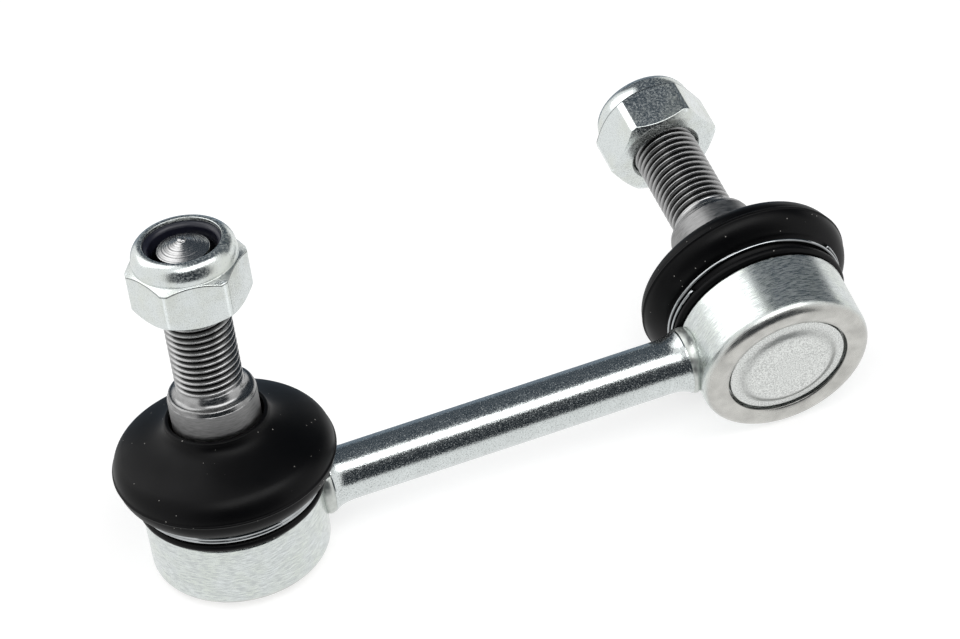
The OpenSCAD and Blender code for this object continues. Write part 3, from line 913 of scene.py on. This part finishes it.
def stud_mesh(end, stud, pitch):
    """Outline of the stud turned about its axis, with the thread cut into its upper part.

    The ball and the nib are arcs and the hollow at the shoulder is a cubic curve. Two sine waves
    along the coned tip give it turning rings.
    """
    s = stud
    r, base, top = s.thread_radius, s.shoulder, s.thread_end
    start = base + s.fillet
    fine = 0.05 * MM
    rim = s.rim_radius - 0.3 * MM
    foot = math.asin(s.neck_radius / s.ball_radius)
    ball = arc((0, 0), s.ball_radius, -math.pi / 2, math.pi / 2 - foot, 28)
    corners = [
        (s.neck_radius, ball[-1, 1], 0),
        (s.neck_radius, s.neck_length, 1.0 * MM),
        (s.collar_radius, s.collar_base, 0.6 * MM),
        (s.collar_radius, s.collar_top, fine),
        (s.collar_radius - 2 * fine, s.collar_top + 2 * fine, fine),
        (s.rim_radius, base - 0.2 * MM, 0.15 * MM),
        (rim, base, 0),
    ]
    hollow = curve((rim, base), ((rim + r) / 2, base), (r, base + s.fillet / 3), (r, start), 14)
    z = np.linspace(start, top, round((top - start) / pitch * THREAD_STEPS))[1:]
    thread = np.stack([np.minimum(r, r - s.bevel + (top - z)), z], 1)
    t = np.linspace(0, 1, 60)[1:]
    ripple = 0.009 * MM
    rings = ripple * (np.sin(t * TURN * 6) + np.sin(t * TURN * 9.4)) * (1 - t**8)
    cone = r - s.bevel
    tip = np.stack([cone + (s.nib_radius - cone) * t, top + s.tip * t + rings], 1)
    nib = arc((0, 0), 1, 0, math.pi / 2, 8)[1:] * (s.nib_radius, s.nib) + (0, top + s.tip)
    outline = np.concatenate([ball, rounded(corners, False), hollow, thread, tip, nib])
    turn = around(112)
    whole, height = outline[:, :1], outline[:, 1:]
    cut = np.maximum(r, whole) - thread_cut(s, pitch, turn, height)
    threaded = (height > base) & (height <= top)
    radius = np.where(threaded, np.minimum(whole, cut), whole)
    grid = revolved(np.stack([radius, height + 0 * turn], -1), turn)
    return surface("threaded_stud_" + end, placed(grid, stud_frame(end)))


def nut_mesh(end, nut, turn):
    """Outline of the nut for every angle: hexagon with bevels, crown, rolled edge and bore.

    The hexagon's radius is its half width over the cosine of the angle from the nearest side's
    middle, held at the corner's radius less the cut. A cone cuts its two ends, and the rolled edge
    is a quarter of an ellipse.
    """
    n = nut
    half, sixth = n.flats / 2, TURN / 6
    corner = half / math.cos(sixth / 2) - n.corner_cut
    edge = math.acos(half / corner)
    beside = 0.003
    flat = np.linspace(-edge, edge, 25) * (1 - beside)
    cut_start = edge * (1 + beside)
    cut = np.linspace(cut_start, sixth - cut_start, 7)
    way = (np.arange(6)[:, None] * sixth + np.concatenate([flat, cut])).ravel()
    off = np.concatenate([flat, np.minimum(cut, sixth - cut)])
    hexagon = np.tile(np.minimum(half / np.cos(off), corner), 6)
    face = half - n.bevel
    bevel = (hexagon - face) * BEVEL_SLOPE
    foot = n.hex_height - (n.crown_radius - face) * BEVEL_SLOPE
    size = np.array((n.crown_roll, n.crown_rise))
    roll = arc((0, 0), 1, 0, math.pi / 2, 16) * size + (n.crown_radius, n.height) - size
    gap, fine, soft = 0.05 * MM, 0.1 * MM, 0.15 * MM
    pocket = n.insert_radius + fine
    pocket_base, pocket_top = n.insert_base - fine, n.insert_top + gap
    corners = [
        (n.bore, n.bevel + 0.4 * MM, fine),
        (n.bore + 0.7 * MM, 0, fine),
        (face, 0, soft),
        (hexagon, bevel, soft),
        (hexagon, n.hex_height - bevel, soft),
        (n.crown_radius - gap, foot, 0.12 * MM),
        *unrounded(roll),
        (n.crown_hole, n.height - gap, 0.3 * MM),
        (n.crown_hole, pocket_top, fine),
        (pocket, pocket_top, fine),
        (pocket, pocket_base, fine),
        (n.bore, pocket_base, fine),
    ]
    rings = [np.stack(np.broadcast_arrays(*values, way)[:3], -1) for values in corners]
    grid = revolved(rounded(rings, True), way + turn + sixth / 2)
    grid[..., 2] += n.seat
    return surface("crowned_nut_" + end, placed(grid, stud_frame(end)), looped=True)


def insert_mesh(end, nut):
    """Outline of the ring turned about the stud, its upper inner edge sloped for the thread."""
    n = nut
    fine, slope = 0.1 * MM, 0.5 * MM
    corners = [
        (n.bore, n.insert_base, fine),
        (n.insert_radius, n.insert_base, fine),
        (n.insert_radius, n.insert_top, fine),
        (n.bore + slope, n.insert_top, slope / 2),
        (n.bore, n.insert_top - slope, slope / 2),
    ]
    grid = revolved(rounded(corners, True), around(96))
    grid[..., 2] += n.seat
    return surface("nylon_insert_" + end, placed(grid, stud_frame(end)), looped=True)


def boot_outline(boot):
    """Closed outline of the boot's wall: lip, waist, belly with its seam, dome, mouth, inside.

    Lip and belly are arcs, the waist's foot, the dome and the mouth's edge are cubic curves, and
    the seam is a bell curve on the belly.
    """
    b = boot
    belly = np.array((b.belly_out - b.belly_radius, b.belly_height))
    inner = b.belly_radius - b.wall
    start = -math.asin((b.belly_height - b.waist_top) / b.belly_radius)
    under = -math.asin((b.belly_height - b.pocket_top) / inner)
    out_way = np.array((math.cos(b.fall), math.sin(b.fall)))
    rise = b.belly_radius * np.array((-math.sin(b.fall), math.cos(b.fall)))
    out_end = belly + b.belly_radius * out_way
    in_end = belly + inner * out_way
    mouth, mouth_out = b.mouth_radius, b.mouth_radius + b.mouth_wall
    mouth_z, brim = b.top - b.mouth_height, b.top - 0.3 * MM
    lip = b.lip_height / 2
    foot, waist = b.lip_base + b.lip_height, b.waist_radius
    edge, bend = 0.05 * MM, 0.25 * MM
    outside = np.concatenate(
        [
            [(b.groove_radius, b.lip_base)],
            arc((b.lip_radius - lip, b.lip_base + lip), lip, -math.pi / 2, math.pi / 2, 12),
            curve((waist + bend, foot), (waist, foot), (waist, foot), (waist + edge, foot + bend), 4),
            [(waist + b.waist_flare - edge, b.waist_top - 0.2 * MM)],
            arc(belly, b.belly_radius, start, b.fall, 96),
            curve(out_end, out_end + rise, (mouth_out, mouth_z), (mouth_out, brim), 24)[1:],
            curve((mouth_out, brim), (mouth_out, b.top), (mouth, b.top), (mouth, brim), 6)[1:],
        ]
    )
    off = outside - belly
    turn = np.arctan2(off[:, 1], off[:, 0])
    on_belly = np.abs(np.hypot(off[:, 0], off[:, 1]) - b.belly_radius) < MERGE
    ridge = b.seam * np.exp(-((turn * b.belly_radius / b.seam_width) ** 2)) * on_belly
    outside = outside + ridge[:, None] * np.stack([np.cos(turn), np.sin(turn)], 1)
    inside = np.concatenate(
        [
            curve((mouth, mouth_z), (mouth, mouth_z - b.mouth_height), in_end + rise, in_end, 10),
            arc(belly, inner, b.fall, under, 10)[1:],
            [(b.flange_radius, b.pocket_top), (b.flange_radius, b.pocket_base)],
            [(b.groove_radius, b.pocket_base)],
        ]
    )
    return np.concatenate([outside, inside])


def boot_mesh(end, boot):
    """Outline of the boot turned about the joint, its upper part carried over to the stud's lean.

    A point is mixed from where it stands about the joint and where it would stand turned with the
    stud about the ball, by an eased share that grows from the waist to the mouth.
    """
    matrix, lean = joint_frame(end), stud_frame(end)
    grid = revolved(boot_outline(boot), around(144))
    still = placed(grid, matrix)
    turn = Vector(matrix[:3, 2]).rotation_difference(Vector(lean[:3, 2])).to_matrix()
    leaned = (still - lean[:3, 3]) @ np.array(turn).T + lean[:3, 3]
    height = boot.top - boot.mouth_height - boot.waist_top
    share = eased(np.clip((grid[..., 2:] - boot.waist_top) / height, 0, 1))
    return surface("rubber_boot_" + end, still * (1 - share) + leaned * share, looped=True)


def ring_mesh(end, boot, start):
    """Wire carried along a coil: the angle falls from the start while the height climbs.

    The coil's radius follows the waist, and the wire's circle stands across the path. The first
    and last circles shrink to a point, which closes the wire's ends.
    """
    b = boot
    along = np.linspace(0, b.wire_turns, 150)
    thick = np.full(len(along), b.wire_radius)
    along = np.concatenate([along[:1], along, along[-1:]])
    thick = np.concatenate([[0], thick, [0]])[:, None]
    turn = (start - along * TURN)[:, None]
    rise = b.wire_base + b.wire_pitch * along[:, None]
    foot = b.lip_base + b.lip_height
    waist = b.waist_radius + b.waist_flare * (rise - foot) / (b.waist_top - foot)
    side = around(16)
    r = waist + b.wire_seat + thick * np.cos(side)
    points = np.stack([r * np.cos(turn), r * np.sin(turn), rise + thick * np.sin(side)], -1)
    return surface("wire_ring_" + end, placed(points, joint_frame(end)))


class LINK_OT_rod(bpy.types.Operator):
    """Builds the rod and its two welds."""

    bl_idname = "link.rod"
    bl_label = "Rod and Welds"

    def execute(self, context):
        rod, finish = context.scene.link_rod, context.scene.link_finish
        add_piece(rod_mesh(rod), rod_zinc(finish, rod_frame(rod)), "rod", "link")
        for end in ENDS:
            mesh = weld_mesh(end, rod, context.scene.link_housing)
            look = weld_bead("weld_" + end, finish, joint_frame(end))
            add_piece(mesh, look, "weld_ring_" + end, "link")
        return {"FINISHED"}


class LINK_OT_housings(bpy.types.Operator):
    """Builds the two housings and their plates, and finishes the ball seats inside them."""

    bl_idname = "link.housings"
    bl_label = "Housings"

    def execute(self, context):
        housing, finish = context.scene.link_housing, context.scene.link_finish
        for end in ENDS:
            matrix = joint_frame(end)
            look = housing_zinc("housing_zinc_" + end, finish, housing, matrix)
            add_piece(housing_mesh(end, housing), look, "housing_" + end, "link")
            look = frosted_zinc("plate_zinc_" + end, finish, housing, matrix)
            add_piece(plate_mesh(end, housing), look, "cover_plate_" + end, "link")
            seat = frame["nodes"]["ball_seat_" + end]
            seat.data.materials.clear()
            seat.data.materials.append(seat_acetal("seat_acetal_" + end, finish, matrix))
        return {"FINISHED"}


class LINK_OT_studs(bpy.types.Operator):
    """Builds the two ball studs with their threads."""

    bl_idname = "link.studs"
    bl_label = "Ball Studs"

    def execute(self, context):
        stud, finish = context.scene.link_stud, context.scene.link_finish
        for end in ENDS:
            pitch = abs(TURN / COUPLINGS["nut_screw_" + end]["ratio"])
            look = stud_steel("stud_steel_" + end, finish, stud, stud_frame(end))
            mesh = stud_mesh(end, stud, pitch)
            add_piece(mesh, look, "ball_stud_" + end, "stud_" + end + "_body")
        return {"FINISHED"}


class LINK_OT_boots(bpy.types.Operator):
    """Builds the two boots, which bend from housing to stud, and their wire rings."""

    bl_idname = "link.boots"
    bl_label = "Boots and Rings"

    def execute(self, context):
        boot, finish = context.scene.link_boot, context.scene.link_finish
        starts = {"a": boot.ring_turn_a, "b": boot.ring_turn_b}
        for end in ENDS:
            matrix = joint_frame(end)
            look = boot_rubber("boot_rubber_" + end, finish, matrix)
            piece = add_piece(boot_mesh(end, boot), look, "boot_" + end)
            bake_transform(piece)
            look = wire_zinc("wire_zinc_" + end, finish, boot, starts[end], matrix)
            add_piece(ring_mesh(end, boot, starts[end]), look, "boot_ring_" + end, "link")
        return {"FINISHED"}


class LINK_OT_nuts(bpy.types.Operator):
    """Builds the two lock nuts and their nylon inserts."""

    bl_idname = "link.nuts"
    bl_label = "Lock Nuts"

    def execute(self, context):
        nut, finish = context.scene.link_nut, context.scene.link_finish
        turns = {"a": nut.turn_a, "b": nut.turn_b}
        for end in ENDS:
            matrix = stud_frame(end)
            look = nut_zinc("nut_zinc_" + end, finish, nut, turns[end], matrix)
            mesh = nut_mesh(end, nut, turns[end])
            add_piece(mesh, look, "lock_nut_" + end, "nut_" + end + "_body")
            look = insert_nylon("nylon_" + end, finish, matrix)
            mesh = insert_mesh(end, nut)
            add_piece(mesh, look, "nut_insert_" + end, "insert_" + end + "_body")
        return {"FINISHED"}


# Stage

# Each dark card's name, shade, centre and two half sides
CARDS = (
    ("front_card", 0.04, (-0.45, -1.3, 0.58), (1.45, 0, 0), (0, 0, 0.93)),
    ("top_card", 0.1, (0.85, 0.53, 1.35), (0.9, 0, 0), (0, 0.77, 0)),
    ("rear_card", 0.1, (0.6, 1.3, 0.87), (0.9, 0, 0), (0, 0, 0.48)),
    ("low_rear_card", 0.3, (0.25, 1.3, -0.18), (0.55, 0, 0), (0, 0, 0.57)),
    ("right_card", 0.09, (1.5, 0.55, 0.75), (0, 0.75, 0), (0, 0, 0.6)),
)
# Each softbox's name, place, width and height, and power in watts
SOFTBOXES = (
    ("key_softbox", (0.186, -0.454, 0.832), (1.2, 0.41), 3.7),
    ("left_softbox", (-0.505, 0.465, 0.74), (0.55, 1.05), 2.2),
)
SOFTBOX_AIM = (0.05, 0, 0.02)
WHITE = (1, 1, 1, 1)
FLOOR_GAP = 0.1 * MM
FLOOR_GLOW = 0.6
WORLD_LIGHT = 0.45
SENSOR_WIDTH = 36.0
NEAREST_SEEN = 0.02


def stage_plane(name, centre, right, up, material):
    """A flat four-cornered stage piece about a centre, with half sides right and up."""
    centre, right, up = (np.array(v, float) for v in (centre, right, up))
    low, high = centre - up, centre + up
    mesh = bpy.data.meshes.new(name)
    mesh.from_pydata([low - right, low + right, high + right, high - right], [], [(0, 1, 2, 3)])
    mesh.materials.append(material)
    plane = bpy.data.objects.new(name, mesh)
    bpy.context.scene.collection.objects.link(plane)
    return plane


def card_material(name, tint, shade):
    """A material of one shade of a tint, for a stage card."""
    material = bpy.data.materials.new(name)
    tree = empty_tree(material)
    glow = add_node(tree, "ShaderNodeEmission", {"Color": (*tint, 1), "Strength": shade})
    add_node(tree, "ShaderNodeOutputMaterial", {"Surface": glow.outputs[0]})
    return material


def seen_or_mirrored(tree):
    """1 for what the camera sees straight, in a mirror or through glass, else 0."""
    path = add_node(tree, "ShaderNodeLightPath").outputs
    rays = maths(tree, "MAXIMUM", path["Is Camera Ray"], path["Is Glossy Ray"])
    return maths(tree, "MAXIMUM", rays, path["Is Transmission Ray"])


def floor_material(shade):
    """White floor that takes shadows, lifted a little where it is seen or mirrored."""
    material = bpy.data.materials.new("studio_floor")
    tree = empty_tree(material)
    inputs = {
        "Base Color": (*shade, 1.0),
        "Roughness": 0.9,
        "Specular IOR Level": 0.0,
        "Emission Color": WHITE,
        "Emission Strength": maths(tree, "MULTIPLY", seen_or_mirrored(tree), FLOOR_GLOW),
    }
    return shaded(material, inputs)


def white_world():
    """World that is white where it is seen or mirrored and softer as a light."""
    world = bpy.data.worlds.new("white_studio")
    tree = empty_tree(world)
    strength = spread(tree, seen_or_mirrored(tree), (0.0, 1.0), (WORLD_LIGHT, 1.0))
    sky = add_node(tree, "ShaderNodeBackground", {"Color": WHITE, "Strength": strength})
    add_node(tree, "ShaderNodeOutputWorld", {"Surface": sky.outputs[0]})
    bpy.context.scene.world = world


def looking(origin, target, roll=0.0):
    """Matrix at an origin that looks at a target along -z, turned about its view by a roll."""
    origin, target = Vector(origin), Vector(target)
    forward = (target - origin).normalized()
    level = forward.cross(Vector((0, 0, 1))).normalized()
    upright = level.cross(forward)
    right = math.cos(roll) * level + math.sin(roll) * upright
    up = right.cross(forward)
    matrix = Matrix((right, up, -forward)).transposed().to_4x4()
    matrix.translation = origin
    return matrix


def add_softbox(name, origin, size, power):
    """A rectangular lamp that the camera doesn't see."""
    lamp = bpy.data.lights.new(name, "AREA")
    lamp.shape = "RECTANGLE"
    lamp.size, lamp.size_y = size
    lamp.energy = power
    softbox = bpy.data.objects.new(name, lamp)
    softbox.matrix_world = looking(origin, SOFTBOX_AIM)
    softbox.visible_camera = False
    bpy.context.scene.collection.objects.link(softbox)


def add_card(name, shade, centre, right, up, tint):
    """A dark card that only shows in mirrors."""
    card = stage_plane(name, centre, right, up, card_material(name, tint, shade))
    card.visible_camera = False
    card.visible_diffuse = False
    card.visible_shadow = False
    card.visible_transmission = False


def add_floor(scene):
    """A floor that slopes from just under A's rolled edge to just under B's side."""
    low_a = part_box("housing_a")[0]
    low_b, high_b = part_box("housing_b")
    foot = Vector((low_a.x + scene.link_housing.roll_radius, 0, low_a.z - FLOOR_GAP))
    slope = (Vector(((low_b.x + high_b.x) / 2, 0, low_b.z - FLOOR_GAP)) - foot).normalized()
    half = scene.link_stage.floor_size / 2
    material = floor_material(scene.link_finish.floor)
    floor = stage_plane("studio_floor", foot, slope * half, (0, half, 0), material)
    floor.visible_glossy = False


def add_camera(scene):
    """The camera of the photo's view."""
    stage = scene.link_stage
    lens = bpy.data.cameras.new("photo_camera")
    lens.lens = stage.lens
    lens.sensor_width = SENSOR_WIDTH
    lens.clip_start = NEAREST_SEEN
    camera = bpy.data.objects.new("photo_camera", lens)
    camera.matrix_world = looking(stage.camera, stage.aim, stage.roll)
    scene.collection.objects.link(camera)
    scene.camera = camera


class LINK_OT_stage(bpy.types.Operator):
    """Builds the floor, the dark cards, the softboxes, the white world and the camera."""

    bl_idname = "link.stage"
    bl_label = "Studio"

    def execute(self, context):
        scene = context.scene
        add_floor(scene)
        for card in CARDS:
            add_card(*card, scene.link_finish.card)
        for softbox in SOFTBOXES:
            add_softbox(*softbox)
        white_world()
        scene.view_settings.view_transform = "Standard"
        add_camera(scene)
        return {"FINISHED"}


GROUPS = {
    "link_rod": LinkRod,
    "link_housing": LinkHousing,
    "link_stud": LinkStud,
    "link_nut": LinkNut,
    "link_boot": LinkBoot,
    "link_finish": LinkFinish,
    "link_stage": LinkStage,
}
OPERATORS = (LINK_OT_stage, LINK_OT_rod, LINK_OT_housings, LINK_OT_studs, LINK_OT_boots, LINK_OT_nuts)


class VIEW3D_PT_link(bpy.types.Panel):
    """Lists the steps that build the link and the values they use."""

    bl_label = "Stabilizer Link"
    bl_idname = "VIEW3D_PT_link"
    bl_space_type = "VIEW_3D"
    bl_region_type = "UI"
    bl_category = "Link"

    def draw(self, context):
        for operator in OPERATORS:
            self.layout.operator(operator.bl_idname)
        for name, group in GROUPS.items():
            box = self.layout.box()
            box.label(text=group.__doc__)
            settings = getattr(context.scene, name)
            for key in group.__annotations__:
                box.prop(settings, key)


def register():
    """Registers the property groups, operators and panel."""
    for name, group in GROUPS.items():
        bpy.utils.register_class(group)
        setattr(bpy.types.Scene, name, PointerProperty(type=group))
    for cls in (*OPERATORS, VIEW3D_PT_link):
        bpy.utils.register_class(cls)


def unregister():
    """Takes the panel, operators and property groups away again."""
    for cls in (VIEW3D_PT_link, *reversed(OPERATORS)):
        bpy.utils.unregister_class(cls)
    for name, group in GROUPS.items():
        delattr(bpy.types.Scene, name)
        bpy.utils.unregister_class(group)


def main():
    register()
    bpy.ops.link.stage()
    bpy.ops.link.rod()
    bpy.ops.link.housings()
    bpy.ops.link.studs()
    bpy.ops.link.boots()
    bpy.ops.link.nuts()


if __name__ == "__main__":
    main()
